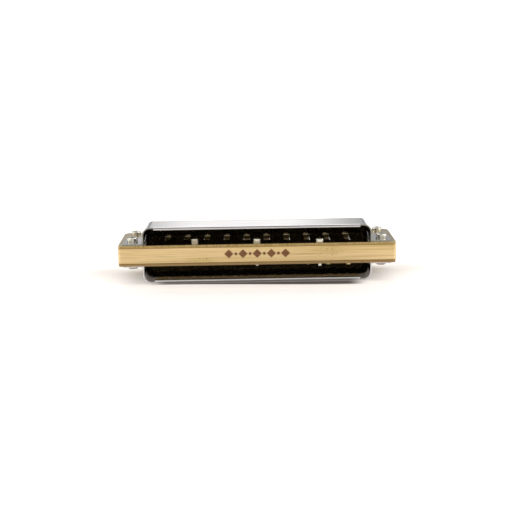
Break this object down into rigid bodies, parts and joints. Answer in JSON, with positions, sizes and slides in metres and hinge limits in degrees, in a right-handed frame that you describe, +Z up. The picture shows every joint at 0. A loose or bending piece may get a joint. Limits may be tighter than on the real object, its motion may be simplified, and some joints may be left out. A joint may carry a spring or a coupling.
{
  "type": "diatonic harmonica",
  "caption": "Mouth organ with a wooden comb between two brass reed plates, bright metal covers open at the back, and a sprung brass reed over each slot.",
  "frame": {"origin": "under the middle of the comb, on the flat crown of the lower cover that the instrument rests on", "axes": "+X along the instrument from the lowest hole to the highest, -Y out of the mouth holes, +Y out of the open backs of the covers, +Z up through the top cover"},
  "size_m": [0.1022, 0.027, 0.0208],
  "materials": {
    "comb": "laminated bamboo, oiled, fine straight grain along the length",
    "blow_reed_plate": "rolled plate, fine lengthwise scratches, polished",
    "draw_reed_plate": "rolled plate, fine lengthwise scratches, polished",
    "top_cover": "bright polished pressed sheet",
    "bottom_cover": "bright polished pressed sheet",
    "rivets": "turned, satin",
    "screws": "nickel-plated, bright",
    "nuts": "nickel-plated, satin",
    "reeds": "milled lengthwise, satin"
  },
  "bodies": {
    "harmonica": {"comb": "comb", "blow_reed_plate": "blow_reed_plate", "draw_reed_plate": "draw_reed_plate", "top_cover": "top_cover", "bottom_cover": "bottom_cover", "blow_rivets": "rivets", "draw_rivets": "rivets", "plate_screws": "screws", "cover_screws": "screws", "cover_nuts": "nuts", "blow_reed_root_01": "reeds", "blow_reed_root_02": "reeds", "blow_reed_root_03": "reeds", "blow_reed_root_04": "reeds", "blow_reed_root_05": "reeds", "blow_reed_root_06": "reeds", "blow_reed_root_07": "reeds", "blow_reed_root_08": "reeds", "blow_reed_root_09": "reeds", "blow_reed_root_10": "reeds", "draw_reed_root_01": "reeds", "draw_reed_root_02": "reeds", "draw_reed_root_03": "reeds", "draw_reed_root_04": "reeds", "draw_reed_root_05": "reeds", "draw_reed_root_06": "reeds", "draw_reed_root_07": "reeds", "draw_reed_root_08": "reeds", "draw_reed_root_09": "reeds", "draw_reed_root_10": "reeds"},
    "blow_reed_01": {"blow_reed_01": "reeds"},
    "blow_reed_02": {"blow_reed_02": "reeds"},
    "blow_reed_03": {"blow_reed_03": "reeds"},
    "blow_reed_04": {"blow_reed_04": "reeds"},
    "blow_reed_05": {"blow_reed_05": "reeds"},
    "blow_reed_06": {"blow_reed_06": "reeds"},
    "blow_reed_07": {"blow_reed_07": "reeds"},
    "blow_reed_08": {"blow_reed_08": "reeds"},
    "blow_reed_09": {"blow_reed_09": "reeds"},
    "blow_reed_10": {"blow_reed_10": "reeds"},
    "draw_reed_01": {"draw_reed_01": "reeds"},
    "draw_reed_02": {"draw_reed_02": "reeds"},
    "draw_reed_03": {"draw_reed_03": "reeds"},
    "draw_reed_04": {"draw_reed_04": "reeds"},
    "draw_reed_05": {"draw_reed_05": "reeds"},
    "draw_reed_06": {"draw_reed_06": "reeds"},
    "draw_reed_07": {"draw_reed_07": "reeds"},
    "draw_reed_08": {"draw_reed_08": "reeds"},
    "draw_reed_09": {"draw_reed_09": "reeds"},
    "draw_reed_10": {"draw_reed_10": "reeds"}
  },
  "joints": [
    {"name": "blow_reed_01_bend", "type": "hinge", "parent": "harmonica", "child": "blow_reed_01", "pos_m": [-0.03375, -0.00498, 0.01325], "axis": [1, 0, 0], "range_deg": [-4.9, 4.9], "stiffness_Nm_per_rad": 0.012},
    {"name": "blow_reed_02_bend", "type": "hinge", "parent": "harmonica", "child": "blow_reed_02", "pos_m": [-0.02625, -0.00498, 0.01325], "axis": [1, 0, 0], "range_deg": [-4.7, 4.7], "stiffness_Nm_per_rad": 0.0131},
    {"name": "blow_reed_03_bend", "type": "hinge", "parent": "harmonica", "child": "blow_reed_03", "pos_m": [-0.01875, -0.00498, 0.01325], "axis": [1, 0, 0], "range_deg": [-4.5, 4.5], "stiffness_Nm_per_rad": 0.0143},
    {"name": "blow_reed_04_bend", "type": "hinge", "parent": "harmonica", "child": "blow_reed_04", "pos_m": [-0.01125, -0.00498, 0.01325], "axis": [1, 0, 0], "range_deg": [-4.4, 4.4], "stiffness_Nm_per_rad": 0.0157},
    {"name": "blow_reed_05_bend", "type": "hinge", "parent": "harmonica", "child": "blow_reed_05", "pos_m": [-0.00375, -0.00498, 0.01325], "axis": [1, 0, 0], "range_deg": [-4.2, 4.2], "stiffness_Nm_per_rad": 0.0174},
    {"name": "blow_reed_06_bend", "type": "hinge", "parent": "harmonica", "child": "blow_reed_06", "pos_m": [0.00375, -0.00498, 0.01325], "axis": [1, 0, 0], "range_deg": [-4, 4], "stiffness_Nm_per_rad": 0.0194},
    {"name": "blow_reed_07_bend", "type": "hinge", "parent": "harmonica", "child": "blow_reed_07", "pos_m": [0.01125, -0.00498, 0.01325], "axis": [1, 0, 0], "range_deg": [-3.8, 3.8], "stiffness_Nm_per_rad": 0.0218},
    {"name": "blow_reed_08_bend", "type": "hinge", "parent": "harmonica", "child": "blow_reed_08", "pos_m": [0.01875, -0.00498, 0.01325], "axis": [1, 0, 0], "range_deg": [-3.6, 3.6], "stiffness_Nm_per_rad": 0.0247},
    {"name": "blow_reed_09_bend", "type": "hinge", "parent": "harmonica", "child": "blow_reed_09", "pos_m": [0.02625, -0.00498, 0.01325], "axis": [1, 0, 0], "range_deg": [-3.5, 3.5], "stiffness_Nm_per_rad": 0.0284},
    {"name": "blow_reed_10_bend", "type": "hinge", "parent": "harmonica", "child": "blow_reed_10", "pos_m": [0.03375, -0.00498, 0.01325], "axis": [1, 0, 0], "range_deg": [-3.2, 3.2], "stiffness_Nm_per_rad": 0.0331},
    {"name": "draw_reed_01_bend", "type": "hinge", "parent": "harmonica", "child": "draw_reed_01", "pos_m": [-0.03375, 0.00798, 0.0065], "axis": [1, 0, 0], "range_deg": [-4.8, 4.8], "stiffness_Nm_per_rad": 0.0127},
    {"name": "draw_reed_02_bend", "type": "hinge", "parent": "harmonica", "child": "draw_reed_02", "pos_m": [-0.02625, 0.00721, 0.0065], "axis": [1, 0, 0], "range_deg": [-4.6, 4.6], "stiffness_Nm_per_rad": 0.0138},
    {"name": "draw_reed_03_bend", "type": "hinge", "parent": "harmonica", "child": "draw_reed_03", "pos_m": [-0.01875, 0.00644, 0.0065], "axis": [1, 0, 0], "range_deg": [-4.4, 4.4], "stiffness_Nm_per_rad": 0.0152},
    {"name": "draw_reed_04_bend", "type": "hinge", "parent": "harmonica", "child": "draw_reed_04", "pos_m": [-0.01125, 0.00567, 0.0065], "axis": [1, 0, 0], "range_deg": [-4.3, 4.3], "stiffness_Nm_per_rad": 0.0167},
    {"name": "draw_reed_05_bend", "type": "hinge", "parent": "harmonica", "child": "draw_reed_05", "pos_m": [-0.00375, 0.0049, 0.0065], "axis": [1, 0, 0], "range_deg": [-4.1, 4.1], "stiffness_Nm_per_rad": 0.0186},
    {"name": "draw_reed_06_bend", "type": "hinge", "parent": "harmonica", "child": "draw_reed_06", "pos_m": [0.00375, 0.00413, 0.0065], "axis": [1, 0, 0], "range_deg": [-3.9, 3.9], "stiffness_Nm_per_rad": 0.0209},
    {"name": "draw_reed_07_bend", "type": "hinge", "parent": "harmonica", "child": "draw_reed_07", "pos_m": [0.01125, 0.00336, 0.0065], "axis": [1, 0, 0], "range_deg": [-3.7, 3.7], "stiffness_Nm_per_rad": 0.0236},
    {"name": "draw_reed_08_bend", "type": "hinge", "parent": "harmonica", "child": "draw_reed_08", "pos_m": [0.01875, 0.00259, 0.0065], "axis": [1, 0, 0], "range_deg": [-3.5, 3.5], "stiffness_Nm_per_rad": 0.027},
    {"name": "draw_reed_09_bend", "type": "hinge", "parent": "harmonica", "child": "draw_reed_09", "pos_m": [0.02625, 0.00182, 0.0065], "axis": [1, 0, 0], "range_deg": [-3.3, 3.3], "stiffness_Nm_per_rad": 0.0313},
    {"name": "draw_reed_10_bend", "type": "hinge", "parent": "harmonica", "child": "draw_reed_10", "pos_m": [0.03375, 0.00105, 0.0065], "axis": [1, 0, 0], "range_deg": [-3.1, 3.1], "stiffness_Nm_per_rad": 0.0369}
  ]
}
